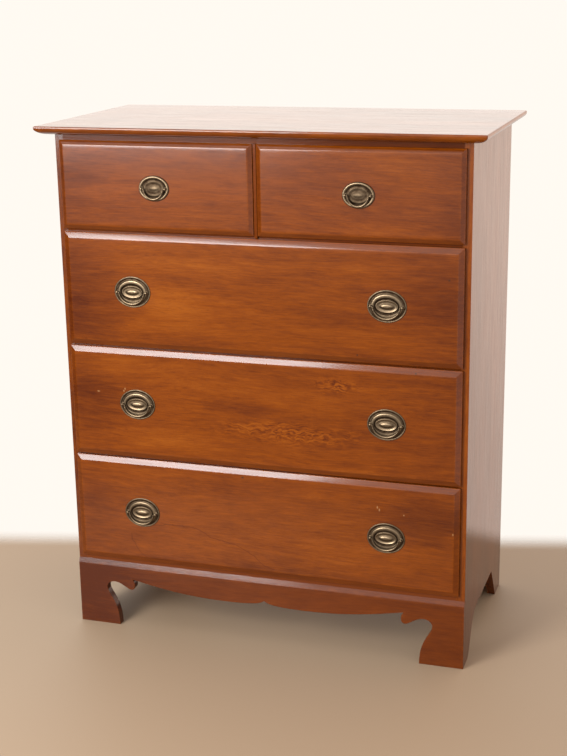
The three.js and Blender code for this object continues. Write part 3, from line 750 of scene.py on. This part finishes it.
def smooth_rows(table, steps=3):
    """Rows put between the rows of a table on the curve through them: each span's point at t is
    the sum of its four nearest rows, weighed by the Catmull-Rom cubics of t."""
    padded = np.concatenate([[2 * table[0] - table[1]], table, [2 * table[-1] - table[-2]]])
    t = np.linspace(0, 1, steps, endpoint=False)[:, None]
    a, b, c, d = (padded[k : len(padded) - 3 + k][:, None, :] for k in range(4))
    square, cube = 2 * a - 5 * b + 4 * c - d, 3 * b - a - 3 * c + d
    spans = 0.5 * (2 * b + (c - a) * t + square * t**2 + cube * t**3)
    return np.concatenate([spans.reshape(-1, table.shape[1]), table[-1:]])


def turned(centre, profile, count=20, flats=0):
    """A profile of depth and radius turned about an axis along Y. With flats, the radius at an
    angle is held to the flat's distance over the cosine of the angle from that flat's middle."""
    angle = np.arange(count) * 2 * math.pi / count
    depth, radius = np.array(profile).T
    reach = np.repeat(radius[:, None], count, axis=1)
    if flats:
        off = (angle + math.pi / flats) % (2 * math.pi / flats) - math.pi / flats
        reach = np.minimum(reach, (max(radius) * math.cos(math.pi / flats) / np.cos(off))[None, :])
    x = centre[0] + reach * np.cos(angle)
    z = centre[2] + reach * np.sin(angle)
    y = np.repeat((centre[1] + depth)[:, None], count, axis=1)
    return np.stack([x, y, z], -1)


def pull_fittings(pull, body, brass):
    """The plate: ellipses whose half axes and height follow the pressing's table, smoothed. The
    posts, shanks and nuts: profiles turned about each post's axis, the nuts with six flats."""
    sizes = bpy.context.scene.chest_pulls
    low, high = box(f"{pull}_plate")
    small = "_1_" in pull
    relief = sizes.small_relief if small else sizes.long_relief
    half_width, half_height = (high[0] - low[0]) / 2, (high[2] - low[2]) / 2
    centre = np.array([(low[0] + high[0]) / 2, 0, (low[2] + high[2]) / 2])
    seat = 0.0001
    back = box(f"{body}_front")[0][1] - seat
    table = np.clip(smooth_rows(SMALL_PRESSING_SHARES if small else PRESSING_SHARES), 0, 1)
    angle = np.arange(sizes.segments) * 2 * math.pi / sizes.segments
    plate = np.stack(
        [
            centre[0] + half_width * table[:, :1] * np.cos(angle),
            back - relief * table[:, 2:3] * np.ones_like(angle),
            centre[2] + half_height * table[:, 1:2] * np.sin(angle),
        ],
        -1,
    )
    skin(f"{pull}_rose", [(plate, table[:, 3])], brass, body, [f"{pull}_plate"], "hollow")

    reach = box(f"{pull}_bail")[1][0] - centre[0] - sizes.pin_reach
    head = [(-sizes.post_height * out, sizes.post_radius * wide) for out, wide, _ in POST_HEAD_SHARES]
    tarnish = [mark for _, _, mark in POST_HEAD_SHARES]
    places = [centre + (end * reach, back, 0) for end in (-1, 1)]
    posts = [(turned(place, head), tarnish) for place in places]
    skin(f"{pull}_posts", posts, brass, body, [f"{pull}_plate"], "hollow")

    through = box(f"{body}_front")[1][1] - back
    proud = high[1] - back
    radius, chamfer = sizes.shank_radius, 0.0005
    shank = [(0.0, radius), (through, radius), (proud - 0.8 * chamfer, radius), (proud, radius - chamfer)]
    flat, bevelled, tall = sizes.nut_radius - 2 * chamfer, 1.2 * chamfer, sizes.nut_height
    nut = [(0.0, flat), (bevelled, sizes.nut_radius), (tall - bevelled, sizes.nut_radius), (tall, flat)]
    bolts = [(turned(place, shank, 16), [0.6] * 4) for place in places]
    bolts += [(turned(place + (0, through + seat, 0), nut, 24, 6), [0.4] * 4) for place in places]
    skin(f"{pull}_bolts", bolts, brass, body, [f"{pull}_plate"], "hollow")


def bail(pull, body, brass):
    """A round bar carried along the bail's middle line: a straight pin through each post, a short
    elbow, then half an ellipse below them. Its radius swells with the square of the sine, and two
    knops stand on it where a bell curve of the angle adds to it."""
    sizes = bpy.context.scene.chest_pulls
    low, high = box(f"{pull}_bail")
    plate = box(f"{pull}_plate")
    axis = (plate[0][2] + plate[1][2]) / 2
    middle = (low[0] + high[0]) / 2
    belly = (high[1] - low[1]) / 2
    depth = (low[1] + high[1]) / 2
    drop = axis - low[2] - belly
    tip = high[0] - middle
    clear, elbow_out, elbow_in, neck = 0.0003, 0.0026, 0.0012, 0.0015
    arm = tip - sizes.pin_reach - sizes.post_radius - clear - sizes.bail_radius
    start = math.asin(sizes.bail_radius / drop)
    angle = np.linspace(start, math.pi - start, 61)
    swell = np.sin(angle) ** 2
    path = np.stack([arm * np.cos(angle), -drop * np.sin(angle)], 1)
    radius = sizes.bail_radius + swell * (belly - sizes.bail_radius)
    knop_at, knop_width, knop_share = 0.32, 0.07, 0.22
    for way in (angle, math.pi - angle):
        radius = radius * (1 + knop_share * np.exp(-(((way - knop_at) / knop_width) ** 2)))
    elbow = np.array([[tip, 0.0], [arm + elbow_out, 0.0], [arm + elbow_in, -clear]])
    path = np.concatenate([elbow, path, (elbow * (-1, 1))[::-1]])
    ends = np.array([sizes.pin_radius, sizes.pin_radius, neck])
    radius = np.concatenate([ends, radius, ends[::-1]])
    along = np.gradient(path, axis=0)
    along /= np.linalg.norm(along, axis=1)[:, None]
    turn = np.arange(20) * 2 * math.pi / 20
    rings = np.stack(
        [
            middle + path[:, :1] - along[:, 1:] * radius[:, None] * np.sin(turn),
            depth + radius[:, None] * np.cos(turn),
            axis + path[:, 1:] + along[:, :1] * radius[:, None] * np.sin(turn),
        ],
        -1,
    )
    marks = np.concatenate([[0.6] * 3, 0.5 - 0.25 * swell, [0.6] * 3])
    skin(f"{pull}_drop_handle", [(rings, marks)], brass, body, [f"{pull}_bail"], "hollow")


# Steps in the room's brightness: what is followed, where the step starts and ends, and the values
# before and after it. X, Y and Z are the direction's own parts, and lamp is how near the key light
ROOM_STEPS = {
    "over_floor": ("z", -0.5, -0.38, 0, 1),
    "to_right": ("x", -0.05, 0.15, 0, 1),
    "left_wall": ("z", -0.02, 0.12, 1.02, 1.74),
    "right_wall": ("z", -0.37, -0.12, 1.02, 1.47),
    "far_right": ("x", 0.4, 0.85, 0, 1),
    "front": ("z", -0.24, -0.12, 0.45, 1.35),
    "front_left": ("x", -0.9, -0.5, 1, 0),
    "front_right": ("x", 0.1, 0.5, 0, 1),
    "glow": ("lamp", 0.8, 1.0, 0, 1.1),
    "behind": ("y", -0.25, 0.45, 0, 1),
}

# How the steps pass into one another, in order: the result, the factor, and what lies at 0 and 1
ROOM_BLENDS = [
    ("right", "over_floor", 0.0, "to_right"),
    ("wall", "right", "left_wall", "right_wall"),
    ("wall", "far_right", "wall", 1.7),
    ("front", "front_left", "front", 0.15),
    ("front", "front_right", "front", 1.25),
]


def pale_room(tree):
    """The light of the room by direction. Behind the chest a white wall grows brighter upwards and
    to the right, in front it is dim and warm, and a soft glow surrounds the key light."""
    way = node(tree, "TexCoord", out="Generated")
    followed = dict(zip("xyz", node(tree, "SeparateXYZ", (way,), out=None).outputs))
    to_lamp = (-0.34, -0.84, 0.42)
    followed["lamp"] = node(tree, "VectorMath", (way, to_lamp), out="Value", operation="DOT_PRODUCT")
    light = {}
    for name, (key, *span) in ROOM_STEPS.items():
        light[name] = node(tree, "MapRange", (followed[key], *span), interpolation_type="SMOOTHSTEP")
    for name, factor, first, last in ROOM_BLENDS:
        ends = {"A": light.get(first, first), "B": light.get(last, last)}
        light[name] = node(tree, "Mix", {"Factor": light[factor], **ends})
    near = node(tree, "Math", (light["front"], light["glow"]))
    strength = node(tree, "Mix", {"Factor": light["behind"], "A": near, "B": light["wall"]})
    warm_wall = layered(tree, (1, 0.94, 0.87, 1), [(light["right"], (1, 0.78, 0.65))])
    warmths = {"Factor": light["behind"], "A": (1, 0.93, 0.9, 1), "B": warm_wall}
    warmth = node(tree, "Mix", warmths, out=2, data_type="RGBA")
    room = node(tree, "Background", {"Color": warmth, "Strength": strength})
    node(tree, "OutputWorld", {"Surface": room}, out=None)


class ChestOperator:
    """What every step of the chest shares"""

    bl_options = {"REGISTER", "UNDO"}


class CHEST_OT_top(ChestOperator, bpy.types.Operator):
    """Makes the moulded top board"""

    bl_idname = "chest.top"
    bl_label = "Top board"

    def execute(self, context):
        top_board()
        return {"FINISHED"}


# How far the marks on a drawer front reach along its depth
MARK_DEPTHS = {"clouds": 0.1, "curls": 0.1, "nicks": 0.02, "scratches": 0.02}

# The wood of each drawer front. A mark is its X and Z, its half width and half height, and for a
# cloud how much lighter it is. A crack is what crack() takes after the place
FRONT_WOODS = {
    "drawer_1_left": {
        "shift": (0.1, 0.0, 0.31),
        "clouds": [(-0.44, 1.03, 0.12, 0.14, -0.15), (-0.36, 1.03, 0.13, 0.02, 0.12)],
    },
    "drawer_1_right": {
        "shift": (1.7, 0.3, 0.77),
        "clouds": [
            (0.15, 1.09, 0.16, 0.03, -0.13),
            (0.3, 0.96, 0.18, 0.03, 0.14),
            (0.43, 1.04, 0.1, 0.14, -0.15),
        ],
    },
    "drawer_2": {
        "shift": (3.1, 0.6, 0.15),
        "tone": 0.04,
        "clouds": [
            (-0.14, 0.87, 0.3, 0.03, 0.2),
            (-0.19, 0.785, 0.17, 0.07, 0.26),
            (0.24, 0.885, 0.18, 0.02, 0.13),
            (-0.43, 0.79, 0.18, 0.2, -0.26),
            (0.18, 0.775, 0.2, 0.03, -0.12),
            (0.43, 0.8, 0.2, 0.2, -0.16),
            (-0.1, 0.7, 0.5, 0.03, -0.1),
        ],
        "nicks": [(0.2215, 0.698, 0.003, 0.003), (0.4145, 0.867, 0.003, 0.003)],
    },
    "drawer_3": {
        "shift": (5.3, 0.9, 0.52),
        "tone": 0.03,
        "clouds": [
            (-0.31, 0.64, 0.15, 0.03, 0.14),
            (-0.21, 0.47, 0.18, 0.03, 0.18),
            (-0.03, 0.56, 0.12, 0.022, -0.16),
            (0.42, 0.55, 0.2, 0.18, -0.04),
            (-0.42, 0.56, 0.14, 0.18, -0.2),
            (0.22, 0.44, 0.16, 0.012, 0.14),
            (0.18, 0.627, 0.07, 0.025, 0.05),
            (0.07, 0.512, 0.22, 0.03, 0.06),
        ],
        "curls": [(0.07, 0.512, 0.26, 0.04), (0.175, 0.627, 0.08, 0.03)],
        "nicks": [
            (-0.154, 0.672, 0.004, 0.003),
            (-0.0165, 0.6735, 0.006, 0.003),
            (0.347, 0.666, 0.003, 0.003),
        ],
        "scratches": [
            (-0.317, 0.579, 0.0025, 0.004),
            (-0.314, 0.584, 0.0025, 0.004),
            (-0.379, 0.574, 0.005, 0.0025),
            (-0.249, 0.557, 0.003, 0.004),
        ],
    },
    "drawer_4": {
        "shift": (7.9, 1.2, 0.93),
        "tone": 0.01,
        "clouds": [
            (0.37, 0.35, 0.17, 0.08, -0.2),
            (0.28, 0.24, 0.22, 0.06, 0.1),
            (-0.42, 0.3, 0.16, 0.18, -0.16),
            (0.0, 0.19, 0.5, 0.022, -0.12),
            (0.38, 0.287, 0.1, 0.012, -0.16),
        ],
        "nicks": [(-0.041, 0.4, 0.005, 0.003)],
        "scratches": [
            (0.2655, 0.3615, 0.0025, 0.005),
            (0.27, 0.356, 0.0025, 0.005),
            (0.324, 0.349, 0.0025, 0.003),
            (0.431, 0.316, 0.0025, 0.004),
        ],
        "cracks": [
            (0, -0.26, 0.0483, [0.264, 0.269, 0.268, 0.248, 0.238, 0.216, 0.19]),
            (2, 0.18, 0.02, [-0.276, -0.299, -0.311, -0.314]),
        ],
    },
}


def on_front(kind, marks):
    """Marks of one kind on a drawer front, as the mahogany takes them: centre, reach, the rest."""
    deep = MARK_DEPTHS[kind]
    return [((x, FACE, z), (wide, deep, tall), *rest) for x, z, wide, tall, *rest in marks]


class CHEST_OT_fronts(ChestOperator, bpy.types.Operator):
    """Makes the five lipped and bevelled drawer fronts"""

    bl_idname = "chest.fronts"
    bl_label = "Drawer fronts"

    def execute(self, context):
        for drawer, wood in FRONT_WOODS.items():
            marks = {kind: on_front(kind, wood[kind]) for kind in MARK_DEPTHS if kind in wood}
            drawer_front(drawer, mahogany(drawer, **(wood | marks)))
        return {"FINISHED"}


class CHEST_OT_base(ChestOperator, bpy.types.Operator):
    """Makes the scrolled apron, the two sides and the strip between the small drawers"""

    bl_idname = "chest.base"
    bl_label = "Apron, sides and strip"

    def execute(self, context):
        apron()
        divider_strip()
        side_board(-1)
        side_board(1)
        return {"FINISHED"}


class CHEST_OT_pulls(ChestOperator, bpy.types.Operator):
    """Makes the eight brass pulls, each a rose, posts, bolts and a bail"""

    bl_idname = "chest.pulls"
    bl_label = "Pulls"

    def execute(self, context):
        brass = old_brass()
        for row in (1, 2, 3, 4):
            for hand in ("left", "right"):
                body = f"drawer_1_{hand}" if row == 1 else f"drawer_{row}"
                pull_fittings(f"pull_{row}_{hand}", body, brass)
                bail(f"pull_{row}_{hand}", f"bail_{row}_{hand}", brass)
        return {"FINISHED"}


class CHEST_OT_carcass(ChestOperator, bpy.types.Operator):
    """Gives every board that stays as it was cut its own wood"""

    bl_idname = "chest.carcass"
    bl_label = "Carcass and drawer boxes"

    def execute(self, context):
        # The case floor's front edge is darkened red to this depth: partly stain, partly painted shade in
        # the gap above the apron
        stain_and_shade_to = box("bottom_board")[0][1] + 0.012
        woods = {
            # The rails' darker tone is painted shade, for the shade under the top and between the drawers
            "rails": mahogany("rails", shift=(0.4, 0.8, 0.2), tone=-0.2, contrast=0.6, polish=0.35),
            # The divider's lighter tone is painted light, for the light in the narrow gap between the
            # small drawers
            "divider": mahogany("divider", grain="z", shift=(0.6, 0.1, 0.3), tone=0.15, contrast=0.7),
            "back": pine("back", shift=(0.2, 0.1, 0.5)),
            "feet": pine("feet", shift=(0.8, 0.1, 0.2)),
            "runners": pine("runners", grain="y"),
            "drawer_sides": pine("drawer_sides", grain="y", shift=(0.3, 0.6, 0.1)),
            "drawer_backs": pine("drawer_backs", shift=(0.5, 0.2, 0.9)),
            "drawer_bottoms": pine("drawer_bottoms", shift=(0.9, 0.7, 0.3)),
            "case_floor": pine("case_floor", shift=(0.1, 0.4, 0.6), stain_and_shade_to=stain_and_shade_to),
        }
        kinds = [
            ("runner", "runners"),
            ("rail", "rails"),
            ("divider", "divider"),
            ("back_panel", "back"),
            ("foot", "feet"),
            ("bottom_board", "case_floor"),
            ("bottom", "drawer_bottoms"),
            ("_side_", "drawer_sides"),
            ("_back", "drawer_backs"),
        ]
        stood_for = {"top_board", "front_apron", "side_left", "side_right"}
        for name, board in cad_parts.items():
            if name.startswith("pull") or name.endswith("_front") or name in stood_for:
                continue
            kind = next(wood for part, wood in kinds if part in name)
            board.data.materials.clear()
            board.data.materials.append(woods[kind])
        return {"FINISHED"}


class CHEST_OT_stage(ChestOperator, bpy.types.Operator):
    """Makes the floor, the pale room, the key light and the camera"""

    bl_idname = "chest.stage"
    bl_label = "Stage"

    def execute(self, context):
        scene = context.scene

        # The floor is an oval that fades out at its rim and along the foot of the wall
        wide, deep, middle, count = 3.4, 1.5, -0.1, 64
        to_wall, wall_foot = (-0.25, 0.968, 0), (0.34, 0.46)
        angle = np.arange(count) * 2 * math.pi / count
        height = np.full(count, -0.0002)
        ring = np.stack([wide * np.cos(angle), deep * np.sin(angle) + middle, height], 1)
        mesh = bpy.data.meshes.new("studio_floor")
        mesh.from_pydata(ring.tolist(), [], [list(range(count))])
        material, tree = blank_material("floor_painted_matt")
        place = node(tree, "TexCoord", out="Object")
        kept = patch(tree, place, (0, middle, 0), (wide, deep, 1), edge=0.88, core=0.52)
        back = node(tree, "VectorMath", (place, to_wall), out="Value", operation="DOT_PRODUCT")
        before = node(tree, "MapRange", (back, *wall_foot, 1, 0), interpolation_type="SMOOTHSTEP")
        shown = node(tree, "Math", (kept, before), operation="MULTIPLY")
        tint = (*scene.chest_colours.floor, 1)
        mesh.materials.append(
            shaded(material, tree, {"Base Color": tint, "Roughness": 0.6, "Alpha": shown})
        )
        floor = bpy.data.objects.new("studio_floor", mesh)
        scene.collection.objects.link(floor)

        world = bpy.data.worlds.new("pale_room")
        world.use_nodes = True
        world.node_tree.nodes.clear()
        pale_room(world.node_tree)
        scene.world = world
        scene.view_settings.view_transform = "Standard"

        # A tall softbox stands to the left of the camera, a little above it
        spot, aim = np.array([-1.45, -3.1, 1.74]), np.array([0.0, 0.0, 0.7])
        light = bpy.data.lights.new("key_softbox", "AREA")
        light.shape = "RECTANGLE"
        light.size, light.size_y, light.energy = 1.3, 1.94, 177
        lamp = bpy.data.objects.new("key_softbox", light)
        gaze = (aim - spot) / np.linalg.norm(aim - spot)
        lamp.location = spot
        lamp.rotation_euler = (math.acos(-gaze[2]), 0, math.atan2(-gaze[0], gaze[1]))
        scene.collection.objects.link(lamp)

        # The photograph's view: turned 18.1 degrees, tipped 16 down and rolled 0.9
        yaw, pitch, roll = (math.radians(a) for a in (18.107, 16.012, -0.945))
        data = bpy.data.cameras.new("photograph_view")
        data.sensor_width = 36
        data.lens = 68.345
        camera = bpy.data.objects.new("photograph_view", data)
        turn = Matrix.Rotation(yaw, 4, "Z") @ Matrix.Rotation(math.pi / 2 - pitch, 4, "X")
        turn = turn @ Matrix.Rotation(roll, 4, "Z")
        camera.matrix_world = Matrix.Translation((0.97644, -3.03582, 1.48416)) @ turn
        scene.collection.objects.link(camera)
        scene.camera = camera
        return {"FINISHED"}


STEPS = (CHEST_OT_stage, CHEST_OT_top, CHEST_OT_fronts, CHEST_OT_base, CHEST_OT_pulls, CHEST_OT_carcass)


class CHEST_PT_steps(bpy.types.Panel):
    """Lists the steps and what may be changed before them"""

    bl_idname = "CHEST_PT_steps"
    bl_label = "Chest of drawers"
    bl_space_type = "VIEW_3D"
    bl_region_type = "UI"
    bl_category = "Chest"

    def draw(self, context):
        scene = context.scene
        for group in (scene.chest_sizes, scene.chest_pulls, scene.chest_colours):
            column = self.layout.box().column()
            for key in group.__annotations__:
                column.prop(group, key)
        for step in STEPS:
            self.layout.operator(step.bl_idname)


GROUPS = {"chest_sizes": ChestSizes, "chest_pulls": PullSizes, "chest_colours": ChestColours}


def register():
    for group in (*GROUPS.values(), *STEPS, CHEST_PT_steps):
        bpy.utils.register_class(group)
    for key, group in GROUPS.items():
        setattr(bpy.types.Scene, key, PointerProperty(type=group))


def unregister():
    for key in GROUPS:
        delattr(bpy.types.Scene, key)
    for group in (CHEST_PT_steps, *reversed(STEPS), *reversed(list(GROUPS.values()))):
        bpy.utils.unregister_class(group)


def main():
    """Registers the add-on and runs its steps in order."""
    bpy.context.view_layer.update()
    register()
    for step in STEPS:
        module, call = step.bl_idname.split(".")
        getattr(getattr(bpy.ops, module), call)()


if __name__ == "__main__":
    main()
